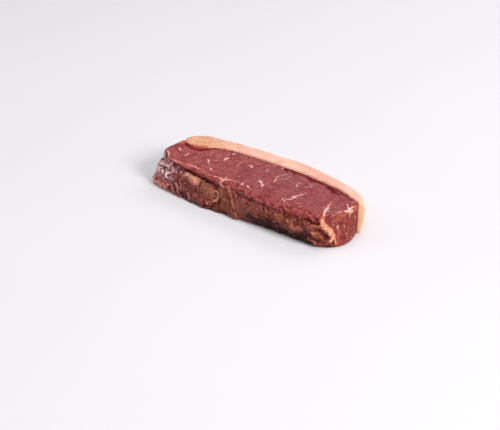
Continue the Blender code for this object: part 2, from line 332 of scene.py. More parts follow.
# Marbling on the upper cut: strength, then x, y and half width of each point.
TOP_MARBLING = (
    (0.75, ((-83.3, -4.6, 0.35), (-81.8, -5.6, 0.6), (-80.3, -6.6, 0.8), (-77.8, -8, 0.45))),
    (0.6, ((-80.3, -6.6, 0.5), (-80.6, -8.4, 0.3))),
    (1, ((-69.1, -13.7, 0.35), (-69.3, -11.5, 0.6), (-68.9, -9.4, 0.5), (-68.7, -6.7, 0.25))),
    (0.6, ((-55.1, 5.2, 0.5), (-53.5, 1.5, 0.3))),
    (0.35, ((-48, -6.8, 0.3), (-44.7, -5.3, 0.3), (-44.1, -0.9, 0.3), (-46.1, 4, 0.35), (-50, 6.7, 0.35),
     (-48.4, 2.2, 0.25))),
    (0.95, ((-51.4, -6.2, 0.35), (-48.4, -6.4, 0.55), (-47.3, -8.6, 0.8), (-45.7, -9.9, 0.45),
     (-44, -11.8, 0.35), (-42.2, -13.6, 0.3))),
    (0.7, ((-47.6, -7.4, 0.4), (-50, -8.8, 0.25))),
    (0.5, ((-44, -11.8, 0.3), (-41.6, -10.6, 0.25))),
    (1, ((-37.2, -18.3, 0.6), (-35.8, -19, 1))),
    (0.6, ((-40.6, -15.4, 0.3), (-38.6, -17, 0.3))),
    (1, ((-38, 1, 0.4), (-38.7, 3.5, 1), (-38.3, 5.5, 0.8), (-37.5, 7, 0.3))),
    (0.5, ((-42, 8, 0.35), (-42, 10, 0.45), (-41, 12, 0.25))),
    (1, ((-39.2, 14.2, 0.8), (-38.5, 15.5, 0.7))),
    (0.6, ((-23.2, -1.1, 0.65), (-24.1, 2, 0.4), (-24.3, 5.6, 0.3), (-23.6, 9.9, 0.25),
     (-20.9, 11.9, 0.25))),
    (0.8, ((-15.8, 6.2, 0.45), (-13.6, 6.6, 0.9), (-12.2, 5.6, 0.8), (-11, 4.4, 0.5))),
    (0.6, ((-13.6, 6.6, 0.5), (-14.6, 9, 0.35))),
    (0.5, ((-11.1, 11, 0.45), (-11, 13.5, 0.6))),
    (0.35, ((-25, -8, 0.7), (-23, -8, 0.5))),
    (0.6, ((3, 5, 0.4), (1.5, 8, 0.6), (0, 12, 0.35))),
    (0.5, ((1.5, 8, 0.35), (3.2, 9.4, 0.25))),
    (0.55, ((9, 18, 0.5), (8, 20, 0.6), (9, 21, 0.5))),
    (0.9, ((18.7, -5.2, 0.5), (17.9, -2.6, 0.55), (17.1, 0.1, 0.4), (15.4, 4.4, 0.35), (15.8, 7.2, 0.35),
     (18.2, 10.8, 0.3), (19.8, 13.5, 0.2))),
    (0.5, ((17.1, 0.1, 0.3), (19.2, 1.4, 0.25))),
    (0.45, ((20.5, 3.1, 0.4), (22.6, 5, 0.35), (23.8, 8.2, 0.4), (24.2, 12.5, 0.25))),
    (1, ((7.6, -10.8, 0.5), (10.1, -11.6, 0.85), (12.4, -12.7, 0.65), (14.3, -14, 0.7),
     (14.4, -15.8, 0.85))),
    (0.85, ((10.1, -11.6, 0.5), (9.8, -9.2, 0.35), (11.2, -7.4, 0.25))),
    (0.6, ((13.2, -13.2, 0.4), (15.6, -12, 0.25))),
    (0.45, ((-2.8, -4.9, 0.3), (-0.1, -4.3, 0.3), (3.9, -4.8, 0.3), (5.8, -8, 0.35), (7.6, -10.8, 0.4))),
    (0.95, ((38.2, 0, 0.45), (36.4, 2.6, 0.4), (35.5, 5, 0.4), (36.2, 7.2, 0.5), (37.6, 8.2, 0.25))),
    (0.7, ((46, 7, 0.6), (47, 8, 0.4))),
    (0.9, ((42, -22.3, 0.25), (44.3, -21.6, 0.35), (46, -19.4, 0.5), (46.6, -17, 0.7), (46.7, -14.6, 0.95),
     (46.8, -12.1, 0.5), (48.3, -8.8, 0.45), (48.8, -5.6, 0.3), (50, -1.6, 0.2))),
    (0.7, ((46.4, -15.6, 0.5), (44.4, -14.4, 0.3))),
    (0.7, ((46.9, -13.4, 0.5), (49.4, -14.4, 0.3), (51, -13.2, 0.2))),
    (0.6, ((48.3, -8.8, 0.35), (46.6, -7, 0.25))),
    (0.6, ((48.4, -8.2, 0.35), (50.6, -7.4, 0.25))),
    (0.95, ((40.3, -22, 0.3), (41.6, -23.6, 0.45), (43.2, -24.3, 0.5), (45.1, -24.2, 0.35),
     (47, -23.2, 0.25))),
    (0.95, ((-0.6, -19.3, 0.35), (-0.2, -21, 0.5), (0.4, -23.9, 0.5))),
    (0.95, ((5.2, -23.6, 0.55), (6.8, -23.5, 0.6))),
    (0.5, ((8.4, -23.9, 0.3), (11.4, -24.3, 0.35))),
    (0.4, ((14, -25, 0.3), (17, -25, 0.3))),
    (1, ((81.6, -23.6, 1), (80.6, -20.4, 0.8), (79.2, -17.3, 0.75), (77.9, -13.6, 0.8), (76.9, -10.6, 0.6),
     (76.1, -7.8, 0.45), (75.3, -4.8, 0.35), (74.6, -2, 0.2))),
    (0.85, ((75.1, -14.3, 0.3), (76.6, -14.2, 0.4), (78.1, -14.4, 0.5))),
    (0.85, ((79.3, -15.2, 0.5), (81, -16.3, 0.5), (82.7, -16.1, 0.25))),
    (0.75, ((78.6, -13.4, 0.4), (79.6, -11.4, 0.35), (80.8, -10.2, 0.2))),
    (0.6, ((76.6, -9.6, 0.35), (74.4, -9.8, 0.25))),
    (0.7, ((84.7, 3.2, 0.25), (86.6, 1.6, 0.4), (88.4, 0.3, 0.4), (90.6, -1.4, 0.5))),
    (0.3, ((63, -10, 0.3), (60, -14, 0.3), (60, -18, 0.25), (64, -21, 0.3))),
    (0.4, ((55, -20, 0.5), (56.5, -19.5, 0.4))),
    (0.3, ((-62, -15, 0.3), (-60, -9, 0.3))),
    (0.25, ((28, -18, 0.3), (31, -12, 0.35), (30, -6, 0.25))),
    (0.3, ((62, 4, 0.35), (66, -1, 0.3), (67, -6, 0.25))),
    (0.4, ((-4, 16, 0.4), (-1, 15, 0.5))),
    (0.35, ((-30, 12, 0.3), (-29, 15, 0.4))),
)
# The pale edge of silverskin round the rim, and the fork where it folds over the side.
SILVER_EDGE = (
    (0.9, ((-84.9, -16.1, 27.7, 0.35), (-81.2, -19.5, 27.5, 0.4), (-79.2, -22, 26.5, 0.5),
     (-75.9, -23.1, 26.3, 0.55), (-71.1, -23.6, 26.4, 0.55), (-64.1, -23.9, 26, 0.4))),
    (0.75, ((-64.1, -23.9, 26, 0.4), (-57, -23.4, 26.5, 0.5), (-51.7, -22.8, 26.8, 0.7),
     (-47.2, -23.1, 26.6, 0.6), (-41.4, -24.1, 26.2, 0.45), (-35.7, -25.1, 26, 0.35),
     (-28.7, -25.6, 26.5, 0.4), (-23.7, -25.4, 26.8, 0.6), (-20.3, -25.5, 26.7, 0.7))),
    (1, ((-20.3, -25.5, 26.7, 0.7), (-16.7, -26, 26.4, 0.95), (-18.4, -26.6, 25.1, 0.85),
     (-18.2, -27.2, 23.2, 0.9), (-16.4, -27.4, 21.9, 0.8), (-14.2, -27.8, 21.4, 0.5))),
    (1, ((-16.9, -25.9, 26.5, 0.8), (-16.2, -24, 27.5, 0.65), (-17.2, -21.6, 27.5, 0.4),
     (-17.8, -20.1, 27.5, 0.2))),
    (0.95, ((-16.7, -26, 26.4, 0.8), (-14, -25, 27.2, 0.6), (-11.6, -23.6, 27.5, 0.5),
     (-9.2, -22.7, 27.6, 0.45))),
    (0.6, ((-9.2, -22.7, 27.6, 0.4), (-5, -22.8, 27.6, 0.35), (-1.9, -23, 27.6, 0.35),
     (2.7, -23.5, 27.5, 0.3))),
    (0.75, ((-1.5, -27.1, 24.8, 0.35), (-1.1, -27.3, 23, 0.45), (-0.9, -27.5, 21.6, 0.3))),
    (0.5, ((50.4, -30.8, 23, 0.35), (51.6, -31.4, 20.8, 0.4), (51.4, -32, 19.4, 0.3))),
)
# Folds of silverskin that hang down the side from the fork.
SIDE_FOLDS = (
    (1, ((-16.6, -26.8, 24.4, 0.6), (-14.4, -27.5, 23.6, 0.8), (-11.4, -28.1, 22.2, 0.9),
     (-7.7, -28.9, 19.6, 0.9))),
    (0.85, ((-7.7, -28.9, 19.6, 0.9), (-3.9, -31.3, 16.9, 0.8), (-1.4, -33.2, 13.4, 0.9),
     (1.3, -33.9, 8.7, 0.7))),
    (0.7, ((1.3, -33.9, 8.7, 0.7), (1.9, -34.4, 5.4, 0.8), (3, -35, 1.8, 1))),
    (0.6, ((-17.9, -27.2, 22.7, 0.7), (-17.2, -29.2, 19.4, 0.8), (-14.4, -31.8, 16.2, 0.8),
     (-9, -32.4, 12.9, 0.8), (-3.4, -33.8, 9.4, 0.7), (0, -33.9, 5.4, 0.6))),
    (0.55, ((-12.2, -27.8, 23.9, 0.6), (-8.5, -27.7, 22.4, 0.7), (-2.6, -28.6, 19.8, 0.8),
     (1.9, -31.4, 16.8, 0.8), (4.2, -33.4, 12.6, 0.8), (4.6, -33.4, 7, 0.7))),
    (0.4, ((9, -31, 17.5, 0.9), (13, -33, 12.5, 1), (14, -33.5, 8, 0.8))),
    (0.5, ((-29.5, -34.6, 8.5, 0.9), (-24, -34.6, 5, 1.2), (-25.3, -35.6, 2.5, 0.9))),
)
# The smooth sheet of silverskin that those folds are part of, in x and in mm down the side.
DRAPED_SHEET = (
    (-19.6, 2.4), (-12, 1.8), (-6, 4), (-0.5, 8), (5.5, 13), (8, 19), (7, 25), (-5, 25), (-10, 20),
    (-15.5, 15.6), (-18.4, 9),
)
# Sheets of tan fat dried onto the side, as outlines in x and in mm down the slope of the side.
TAN_SHEETS = (
    ((-58.6, 5.4), (-57.9, 3.6), (-55.1, 2.8), (-50.2, 3.6), (-44.1, 4.3), (-40.6, 5.6), (-38.4, 9.6),
     (-40.2, 11.2), (-44.3, 9.9), (-48.4, 8.4), (-53.3, 6)),
    ((-37.9, 8), (-36.4, 5.6), (-31.1, 5.6), (-27, 7), (-23, 8.4), (-18.2, 9.4), (-16.6, 11.8),
     (-17.6, 15.2), (-20.8, 17.7), (-25.4, 17.2), (-30.2, 16.2), (-34, 14.4), (-37, 11.6)),
)
# Lumps and patches of fat on the right of the side.
FAT_LUMPS = (
    (1, ((78.2, -33, 13.9, 1.4), (80.6, -32, 12.2, 2.7), (82.6, -29.8, 10, 2.7), (85.9, -26.8, 6.4, 0.9))),
    (0.7, ((74.1, -32.8, 7.2, 1.7), (77.1, -32.4, 6.5, 1.5))),
    (0.75, ((78.6, -31.5, 6.3, 0.8), (79.6, -30.6, 3.8, 0.9), (81.5, -29.5, 3, 0.7))),
    (0.8, ((65.3, -29.7, 20.2, 0.8), (68.4, -30, 18.9, 1.4), (72.4, -30.4, 18, 1.7),
     (77.2, -29.7, 18.3, 1.3), (81.8, -27.4, 18.4, 1))),
    (0.65, ((65.5, -29.2, 21, 0.8), (67.9, -28.8, 22.8, 0.8))),
    (0.75, ((51.4, -33.2, 17.6, 0.9), (53.6, -33.5, 16.6, 1.4), (56.5, -33.9, 14.7, 1.7),
     (60.5, -33.9, 12.4, 1.3))),
    (0.55, ((46.6, -33.4, 15.4, 1), (50, -33.8, 13.2, 1.2))),
    (0.5, ((63.4, -33.4, 14.4, 0.9), (66.4, -33, 11.6, 1.1))),
    (0.5, ((13.8, -33.6, 12.5, 1.1), (19, -33.7, 13.4, 1.4), (23.6, -34.3, 13.9, 1))),
    (0.5, ((32.7, -34.2, 13.8, 1.1), (38.1, -34.6, 13.1, 1.4), (40.9, -34.4, 11.2, 1))),
    (0.45, ((40.8, -33, 17.9, 0.9), (44.9, -33.1, 17.6, 0.8))),
    (0.45, ((26, -33.4, 17, 0.8), (30, -33.6, 16, 0.9))),
    (0.4, ((9, -33.6, 9.6, 0.9), (12, -34, 8.4, 0.8))),
)
# Red lumps of muscle that show through the torn skin, and the red band below the torn flap.
RED_LUMPS = (
    (0.9, ((73.3, -28.2, 22.8, 1.3), (76.9, -28.2, 21.3, 1.8), (80, -26.6, 22.4, 1.4))),
    (0.8, ((66.4, -28.8, 24.2, 1.2), (70.4, -28.2, 23.6, 1.3))),
    (0.7, ((81, -27.5, 14.5, 1.2), (84.5, -25.5, 12, 1.3))),
    (0.6, ((54, -30.5, 23.5, 1.6), (59, -30, 23.5, 1.6))),
    (1, ((-78.4, 4.2, 27.4, 1.1), (-76, 4.4, 27.2, 1.8), (-73, 4.8, 26.6, 2.1), (-70, 5.6, 26.2, 2),
     (-67.6, 6.6, 26.4, 1.5))),
)
# Pockets and gashes that go in deep, painted dark with shade.
POCKETS = (
    (1, ((71, -29, 21, 0.8), (74, -28.6, 20, 0.9), (78, -28, 19.8, 0.9), (80.5, -26.6, 20.4, 0.8))),
    (0.8, ((76.5, -28, 23.6, 0.6), (78.5, -27.4, 22.8, 0.7))),
    (1, ((80.3, -30.2, 17, 0.7), (83.3, -27.6, 15.1, 1), (85.1, -26.5, 11.8, 1.1), (86.7, -25.1, 9, 0.8))),
    (1, ((76.3, -33, 13, 0.7), (76.8, -33, 10.5, 0.8), (79, -31.8, 7.6, 0.7), (82, -29.5, 5.2, 0.6))),
    (0.8, ((70, -32, 13.5, 0.9), (72.5, -32, 11, 1), (72, -32.5, 7.5, 0.8))),
    (1, ((-21, -31.1, 14.4, 0.55), (-20.4, -31.2, 13.2, 0.55))),
    (0.9, ((45.7, -29.7, 24.5, 0.45), (47.4, -31, 22.9, 0.6), (49.5, -31.3, 21.1, 0.5))),
    (0.7, ((49, -30.7, 23.3, 0.35), (50.4, -31.2, 21.4, 0.4))),
    (1, ((-85.4, -19.1, 26.9, 0.8), (-84, -20.2, 26, 1.2), (-83, -21.2, 25, 0.9))),
    (1, ((-81.8, -22, 24, 0.8), (-82, -21.9, 22.8, 0.8))),
    (0.9, ((-82.6, -26, 16.4, 0.9), (-80.6, -27.2, 15, 0.8))),
    (0.9, ((-80.2, -25.7, 17.2, 0.8), (-78.7, -27.4, 15.4, 0.8))),
    (0.8, ((-74.5, -25.5, 20, 0.8), (-74, -27.5, 17.5, 0.7))),
    (0.7, ((-87, -29, 7, 0.9), (-83.5, -30, 8, 0.8))),
    (0.7, ((-73, -32, 3, 0.8), (-70.5, -32.5, 6, 0.9))),
    (0.7, ((-60.8, -32.4, 13, 0.5), (-59.8, -32.6, 10, 0.5))),
    (0.6, ((-39.2, -31.2, 17, 0.5), (-37.6, -32, 15.6, 0.6), (-36.8, -33.2, 13.4, 0.6))),
    (0.7, ((28, -34, 10, 0.9), (32, -34.6, 8.6, 1))),
    (0.6, ((43, -34.2, 13.6, 0.8), (47, -34.4, 10.8, 1))),
)
# The crease below the rim, all along the side, sunk in and painted dark with shade.
CREASE = (
    (1, ((-64.5, -24.4, 23.4, 0.4), (-61.4, -22.8, 21.6, 0.7), (-57.1, -23.1, 20.8, 0.8),
     (-51.2, -24, 20.6, 0.8), (-43.4, -24.8, 20.7, 0.7), (-35.2, -25.8, 20.6, 0.7),
     (-28.5, -26.8, 20.7, 0.7), (-20, -28, 20.3, 0.5))),
    (0.7, ((-11, -27, 21.3, 0.4), (-4, -27, 21, 0.5), (14, -30, 21, 0.6), (25, -31, 21, 0.6),
     (35, -31, 21, 0.6), (45, -31, 21, 0.6), (55, -31, 21, 0.6), (63, -29.4, 21.6, 0.5))),
)
# The thick seam of salmon fat down the front right corner, and its roots below.
CORNER_SEAM = (
    (1, ((81.2, -22.4, 27, 0.7), (81.9, -23.8, 25, 1), (82, -25.1, 22.6, 1.15), (82.9, -25, 19.6, 1.5),
     (85, -23.4, 16.4, 1.8), (87.2, -22, 13.8, 2), (89, -21.3, 11, 1.8), (90.2, -21.2, 8.3, 1.2),
     (91.3, -20.7, 5.8, 0.6), (92.2, -19.8, 2.6, 0.4))),
    (0.9, ((89.6, -22.3, 8, 0.8), (89.3, -23.2, 6, 0.5), (89.1, -23.7, 4.2, 0.35))),
    (0.8, ((89.4, -23, 6.4, 0.45), (87.6, -24.6, 5.8, 0.3))),
    (0.8, ((84.4, -24.6, 17.6, 0.8), (83, -26.4, 15.6, 0.5))),
    (0.8, ((82.2, -25.6, 21, 0.7), (81, -27, 19.6, 0.4))),
    (0.8, ((91, -20.8, 6.6, 0.5), (92.6, -18.8, 5.4, 0.35))),
)
# The white star, flecks and threads on the cut end.
END_MARBLING = (
    (1, ((90.3, -6.4, 26, 0.35), (91.3, -4.6, 25.6, 0.7), (91.6, -2.6, 25.4, 1), (91.9, -0.6, 25, 1.1),
     (92.1, 1.4, 24.2, 0.8), (92.4, 2.4, 22.4, 0.4))),
    (0.9, ((91.7, -1.6, 25.9, 0.6), (91.8, 0.6, 26.2, 0.5), (92, 2.6, 26.2, 0.35))),
    (1, ((92, -1.2, 24.2, 0.8), (92.4, -1.6, 22.6, 0.6), (92.6, -2.3, 21, 0.6), (92.8, -2.7, 19.6, 0.4),
     (92.9, -2.9, 18.4, 0.2))),
    (0.85, ((91.8, -3, 24.4, 0.55), (92, -4.2, 22.6, 0.35))),
    (0.8, ((92.2, 0.6, 23.6, 0.5), (92.5, 0.2, 21.6, 0.35))),
    (0.8, ((88.4, 0.3, 27, 0.35), (90.4, -1.3, 26.4, 0.5))),
    (1, ((90.2, -15.8, 17, 0.55), (90.2, -15.8, 16, 0.65))),
    (1, ((92.5, 5.7, 16.6, 0.75), (92.5, 5.7, 15.8, 0.8))),
    (0.5, ((87.6, -13.6, 26.6, 0.3), (89.2, -10.1, 26.4, 0.4), (90, -6.8, 26.4, 0.35))),
    (0.6, ((91.4, 2.4, 26.4, 0.35), (92, 5.8, 26.1, 0.45), (92, 8.7, 25, 0.35))),
    (0.9, ((86, -17.1, 26.3, 0.45), (86.2, -16.6, 26, 0.45))),
    (0.55, ((94.1, -5.8, 12.6, 0.6), (94.1, -6.2, 11.6, 0.5))),
    (0.5, ((92.7, -9.8, 15.4, 0.4), (92.8, -9.4, 14.6, 0.4))),
    (0.6, ((94.9, -10.2, 9.4, 0.5), (94.8, -9.4, 8.6, 0.4))),
    (0.45, ((95.4, -4, 3.4, 0.6), (95.4, -3.2, 2.6, 0.5))),
    (0.5, ((95.6, -8, 5.8, 0.6), (95.5, -7.4, 4.8, 0.4))),
    (0.35, ((92, -12, 9, 0.3), (92.5, -10, 14, 0.3), (92.5, -10.5, 18, 0.3), (91, -11, 23, 0.25))),
    (0.4, ((93.5, 2, 9, 0.5), (93.5, 3, 7.5, 0.4))),
)
# Orange threads of sinew: by the corner seam, along the end's upper edge and by the fat.
ORANGE_SINEW = (
    (0.8, ((92.7, -18.7, 4.6, 0.4), (92.5, -18.3, 7.6, 0.6), (92.4, -17.1, 10.5, 0.6),
     (92, -16.2, 13.1, 0.5), (90.4, -16.4, 15.6, 0.45))),
    (0.55, ((85.4, -18.4, 25.2, 0.8), (87.4, -15.4, 24.8, 1.3), (89.4, -11.6, 24.2, 1.5),
     (91, -7.4, 24, 1.2))),
    (0.45, ((86.6, -18, 21, 0.8), (88.4, -15.6, 21.4, 1.2), (90, -12, 21.4, 0.9))),
    (1, ((87.4, 6.6, 27.4, 0.5), (88.4, 9.4, 27.5, 0.9), (90.6, 10.4, 27.5, 1.1), (92.6, 9.8, 26.4, 1.1),
     (92.8, 9.2, 23.4, 0.9), (92.2, 8.6, 18.7, 0.5))),
    (0.6, ((92, 5.5, 25.2, 1.3), (92.4, 6.4, 22.4, 1))),
)
# Pale pink streaks and lobes on the left of the side.
PINK_STREAKS = (
    (0.85, ((-62.6, -32.4, 11.8, 0.5), (-61.5, -32.4, 8.7, 0.7), (-59.7, -33.5, 6.5, 0.5),
     (-59, -33.8, 4, 0.3))),
    (0.8, ((-59.8, -31.8, 13.2, 0.5), (-58.4, -32.4, 11.2, 0.7), (-57.3, -33, 9.2, 0.4))),
    (1, ((-90.3, -26.8, 6.6, 0.5), (-92.3, -27.2, 4, 0.8), (-92, -27.9, 2.4, 0.9), (-88, -29.4, 2.8, 0.7))),
    (0.9, ((-88, -29.4, 2.8, 0.9), (-85.2, -30, 4.4, 1.2), (-82, -31.4, 4.6, 1))),
    (0.9, ((-78, -31.6, 5.8, 1.2), (-76.9, -31.4, 4, 1.5), (-77.1, -31, 2, 1.1))),
    (0.7, ((-89.5, -25.5, 9.5, 0.9), (-90.3, -26, 7.2, 0.8))),
    (0.8, ((-86, -28, 10.4, 0.8), (-83.4, -29, 9.6, 0.9))),
    (0.6, ((-68, -33, 8.5, 0.8), (-66, -33, 5.5, 1), (-65.5, -33.4, 3, 0.8))),
    (0.5, ((-50, -34, 7, 0.7), (-46, -34.5, 4.5, 0.9))),
    (0.7, ((-29.5, -34.6, 7.5, 0.6), (-26.5, -34.8, 5, 0.8))),
    (0.5, ((-38, -34.5, 5, 0.7), (-36, -34.8, 3.2, 0.7))),
    (0.5, ((-74, -30, 11, 0.5), (-71.6, -31, 9.6, 0.6))),
)
# Strands of wet silverskin on the left end, and wet beads there, raised a little and coloured near white as
# painted highlights.
WET_STRANDS = (
    (1, ((-85.1, -20.3, 23.9, 0.4), (-86.4, -18.3, 26.6, 0.45), (-86.6, -16.2, 27.6, 0.45),
     (-84.9, -16.3, 27.7, 0.45), (-82.6, -18.4, 27.6, 0.5), (-80.8, -20, 27.2, 0.5), (-80, -21.9, 26, 0.5),
     (-79, -22.4, 24.6, 0.4))),
    (0.9, ((-84.9, -21, 21.6, 0.45), (-84.3, -21.8, 20.6, 0.5), (-82.6, -23.4, 18.9, 0.55),
     (-79.3, -24.3, 18.7, 0.5))),
    (1, ((-88.9, -22.6, 18.4, 0.5), (-88.4, -24, 16.8, 0.5), (-87.8, -25.7, 15.4, 0.5),
     (-87, -26.6, 13.1, 0.55), (-85.7, -27, 12.6, 0.5))),
    (0.9, ((-85.2, -26.4, 14.6, 0.45), (-84.8, -25, 16.4, 0.5), (-84.4, -24, 17.9, 0.4))),
    (0.7, ((-88.6, -22.4, 18.9, 0.5), (-86.5, -22, 19.9, 0.5), (-84.9, -21.2, 20.9, 0.5))),
    (0.6, ((-78.9, -21.8, 21.3, 0.5), (-77.2, -23, 19.9, 0.5), (-77.4, -24.9, 18.4, 0.5),
     (-75.6, -26.3, 17.4, 0.4))),
    (0.5, ((-76, -29.8, 11.5, 0.5), (-72, -30.5, 12.8, 0.5), (-68.5, -30.5, 13.5, 0.4))),
    (0.7, ((-90.6, -24.6, 12.6, 0.4), (-90.2, -26, 9.8, 0.5), (-92.4, -26.6, 6, 0.5))),
)
WET_BEADS = (
    (1, ((-85, -26.6, 14.1, 0.52), (-83.8, -27, 14.1, 0.78), (-82, -27.3, 14.3, 0.45))),
    (1, ((-82, -28.2, 13.1, 0.59), (-81.2, -28.3, 13.1, 0.65))),
    (1, ((-76.4, -29.2, 14.1, 0.78), (-76.3, -28.5, 15.4, 0.52))),
    (0.9, ((-73.4, -26.6, 17.2, 0.4), (-72.4, -27.2, 16.8, 0.45))),
    (0.6, ((-70.5, -24.9, 18.7, 0.4),)),
    (0.9, ((-68.8, -21.6, 20.9, 0.5), (-68, -21.4, 21.4, 0.55))),
    (0.75, ((-65.4, -22.6, 22.1, 0.45),)),
    (0.9, ((-84.8, -22.5, 19.4, 0.45), (-85.6, -23.1, 18.7, 0.59))),
    (0.8, ((-87.5, -23, 18.4, 0.52),)),
    (0.8, ((-77.6, -22.3, 19.8, 0.59),)),
    (0.7, ((-75.3, -22.8, 19.6, 0.52),)),
    (0.7, ((-79.6, -26.6, 16.6, 0.45), (-78.8, -27.2, 15.6, 0.52))),
    (0.7, ((-67.6, -26.4, 17.8, 0.52),)),
    (0.6, ((-88.2, -25.4, 12.2, 0.52),)),
    (0.8, ((-92.5, -27.2, 4.4, 0.45), (-92.4, -27.4, 3.2, 0.65))),
    (0.6, ((-63, -25.4, 18.6, 0.52),)),
)
# Dark blood that gathered in the groove between lean and fat, in x and y.
BLOOD = (
    (0.4, ((-30, 20, 0.7), (-10, 21.3, 0.6), (5, 21.3, 0.6))),
    (1, ((10.2, 20.5, 0.9), (12.6, 19, 1.5), (14.6, 17.4, 1))),
    (0.85, ((13.2, 20.2, 0.8), (17.2, 20.2, 1), (21.7, 20.4, 0.9), (26.4, 20.5, 1.1), (31.4, 20.3, 1))),
    (0.7, ((19.5, 19.2, 0.8), (23.2, 16.6, 0.9))),
    (0.95, ((31.4, 20.3, 0.9), (34, 19.6, 1.3), (37.1, 18.3, 1.7), (40.6, 17.4, 1.5), (43.6, 17.8, 1.3))),
    (0.75, ((39.7, 15.8, 0.8), (43, 14.9, 0.8))),
    (1, ((44.6, 18.2, 1), (47, 18.6, 1.5), (50, 18.4, 1.5), (52.4, 18.2, 1))),
    (0.7, ((52.4, 18.2, 0.7), (57, 17.2, 0.8))),
    (1, ((56.8, 16.4, 1.3), (59.4, 15.9, 2.6), (62.6, 14.9, 2.8), (64.8, 13.8, 1.8))),
    (1, ((64.4, 12.8, 1.1), (66.7, 11.3, 1.9), (69.2, 11.1, 1.8), (71.2, 11.3, 1.1))),
    (0.75, ((64, 17.3, 0.8), (69.4, 16, 0.8), (73.1, 15.4, 0.8), (77.2, 14.2, 0.7), (81.1, 12.4, 0.6),
     (85.4, 10, 0.5))),
    (1, ((-82.3, 4.6, 1), (-80.4, 3, 1.4), (-78, 2.4, 1.2), (-76.4, 2, 0.8))),
    (0.9, ((-75, 1.6, 0.7), (-72.7, 1.8, 0.9), (-69.9, 2.9, 0.9), (-66.8, 3.4, 0.9), (-65.6, 5.6, 0.8))),
    (1, ((-65.5, 6.2, 0.9), (-64, 7.8, 1.3), (-61.8, 8.8, 1.1), (-59.8, 8.8, 0.8))),
    (0.5, ((-61.7, 11.4, 0.7), (-56.9, 13.8, 0.7), (-51.6, 15.6, 0.7), (-45.9, 17.1, 0.7), (-39.8, 18, 0.6),
     (-34.8, 18.5, 0.5))),
)
# The torn flap of flesh where the fat begins, at the left, in x and y.
TORN_FLAP = (
    (1, ((-86.6, -1.6, 0.7), (-85.2, 0.6, 1.2), (-85.4, 3.4, 1.6), (-85.8, 6.4, 1.7), (-86.4, 9.2, 1.2))),
    (0.9, ((-85.2, 1.6, 1), (-82.9, 1.4, 1))),
    (0.9, ((-82.6, 6.6, 0.7), (-81.2, 5.8, 0.8))),
    (0.9, ((-78.8, 5.6, 0.8), (-77.8, 6, 1), (-75.4, 6.8, 1), (-73.6, 7.4, 0.7))),
    (1, ((-71.8, 7.2, 0.8), (-70.4, 8.4, 1.2), (-68.4, 8.6, 1.3), (-67, 10, 1.1), (-65.4, 11.4, 0.9))),
)
UPPER_CUT = 27.5  # mm, the height of the upper cut
FLAP_TOP = 28
# How much a gap counts along each axis: little across the face that the strokes lie on.
ON_CUT = (1, 1, 0.12)
ON_GROOVE = (1, 1, 0.15)
ON_SIDE = (1, 0.5, 1)
ON_END = (0.35, 1, 1)


def on_top(strokes, height=UPPER_CUT):
    return [(power, [(x, y, height, wide) for x, y, wide in run]) for power, run in strokes]


def spilt_and_torn(wavy):
    """The blood and the torn flap, which lie over both pieces."""
    blood = swell(wandering(wavy, 1.6, 0.4, 3.7), on_top(BLOOD), ON_GROOVE, 1.5, 0.7)
    return blood, swell(wavy, on_top(TORN_FLAP, FLAP_TOP), ON_GROOVE, 1.6, 0.5)


lean = skin_of("lean_meat", "lean", LEAN_CELL, LEAN_ROUNDS)
places, facing = points_of(lean.data)
x, y, z = places.T
up = facing[:, 2]
wavy = wandering(places, 3.4, 0.45, 1.7)
wavy = wandering(wavy, 1.3, 0.2, 5.9)

# Which of the slice's faces a point belongs to. The corner's line is given in z and y, and the
# height where the cut rim ends and the old silverskin begins in x and z.
CORNER_LINE = (
    (0, -19), (4, -20.5), (8, -21), (12, -21), (16, -21.5), (19, -23), (22, -24), (24, -24),
    (27, -22),
)
RIM_LINE = (
    (-92, 25.8), (-83, 25.6), (-78, 24.8), (-70, 24.2), (-64, 23.4), (-60, 21.6), (60, 21.3),
    (66, 22.3), (72, 23.4), (78, 24.6), (84, 25),
)
HALF_WAY_UP = 14
corner_y = np.interp(z, *zip(*CORNER_LINE))
cut_end = slope(y - corner_y, -0.8, 0.8) * slope(x, 77, 80) * slope(up, 0.72, 0.5) * slope(z, -1, 1)
rim_z = np.interp(x, *zip(*RIM_LINE)) + lumps(places, 3.0, 4.1, 2) * 0.9
uncut = slope(rim_z - z, -0.6, 0.8) * (1 - cut_end) * slope(up, -0.9, -0.7)
upper = slope(up, 0.5, 0.8) * slope(z, 22, 25)
under = slope(up, -0.5, -0.8)
rim = slope(z, 20, 22.5) * slope(up, 0.975, 0.84) * (1 - cut_end) * slope(y, 4, -4)
front = slope(y, -12, -16) * (1 - cut_end) * (1 - under)
to_fat = gap_to("fat_cap", places)
by_fat = slope(to_fat, 1.2, 0.4)
wet_end = uncut * slope(x, -63, -76) * slope(z, 8, 12) * slope(y, -2, -17)
pale_foot = uncut * slope(x, -64, -74) * slope(z, 11, 6) * (0.25 + 0.75 * slope(y, -2, -17))
far_end = uncut * slope(x, -78, -88) * slope(y, -22, -12)
billows = lumps(places, (9, 7, 5), 6.2, 2)
# Painted shade: near black low down the side, where it curls under the slice and no light reaches.
dark_foot = uncut * slope(z + billows * 4.5, 14, 6) * slope(x, -2, 24) * (1 - slope(x, 70, 80))
painted_left_foot_shade = uncut * slope(z + billows * 4, 7.5, 3) * slope(x, -66, -50) * 0.6
dark_foot = np.maximum(dark_foot, painted_left_foot_shade)
# Painted sheen: greyer mauve over the middle of the upper cut, in place of the soft light shining off the
# wet flesh.
film = upper * slope(x, -25, 25) * slope(y, -24, -15)
film = film * slope(lumps(places, (26, 14, 9), 2.6, 2), -0.5, 0.3)

